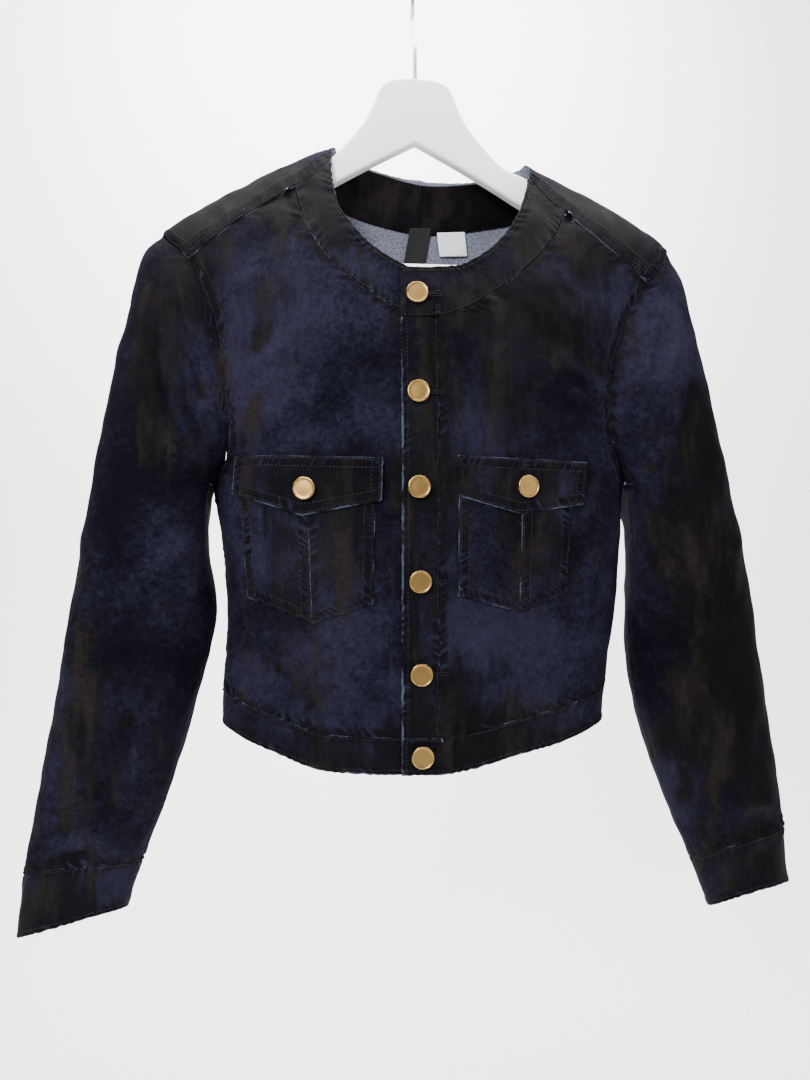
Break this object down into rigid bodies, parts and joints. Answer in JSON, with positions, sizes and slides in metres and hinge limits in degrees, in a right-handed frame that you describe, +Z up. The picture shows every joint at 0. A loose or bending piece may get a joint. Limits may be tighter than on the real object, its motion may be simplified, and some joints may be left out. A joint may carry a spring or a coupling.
{
  "type": "denim jacket on a hanger",
  "caption": "Short round-necked denim jacket with a buttoned front and flap chest pockets, hung on a flat white wooden hanger whose wire hook takes a rail.",
  "frame": {"origin": "inside top of the hanger's hook, where the rail bears", "axes": "+Z up along the hook's stem, -Y out of the jacket's front, +X towards the viewer's right"},
  "size_m": [0.6311, 0.1329, 0.7873],
  "materials": {
    "denim": "coated dark indigo denim with worn light edges",
    "denim_facing": "dark indigo denim facing",
    "button_metal": "brushed pale brass",
    "tape_black": "black woven tape, blank",
    "tape_white": "white satin tape, blank",
    "painted_wood": "smooth off-white paint",
    "hook_wire": "plain steel wire"
  },
  "bodies": {
    "root": {"yoke": "denim", "front_left": "denim", "front_right": "denim", "back": "denim", "neckband_left": "denim", "neckband_right": "denim", "placket": "denim", "waistband_left": "denim", "waistband_right": "denim", "waistband_back": "denim", "sleeve_left": "denim", "sleeve_right": "denim", "cuff_left": "denim", "cuff_right": "denim", "pocket_left_outer_half": "denim", "pocket_left_inner_half": "denim", "pocket_right_outer_half": "denim", "pocket_right_inner_half": "denim", "flap_left": "denim", "flap_right": "denim", "back_neck_facing": "denim_facing", "button_front_1": "button_metal", "button_front_2": "button_metal", "button_front_3": "button_metal", "button_front_4": "button_metal", "button_front_5": "button_metal", "button_front_6": "button_metal", "button_pocket_left": "button_metal", "button_pocket_right": "button_metal", "label_black": "tape_black", "label_white": "tape_white", "hanger_wood": "painted_wood", "hanger_bar": "painted_wood", "hanger_hook": "hook_wire"}
  },
  "joints": []
}
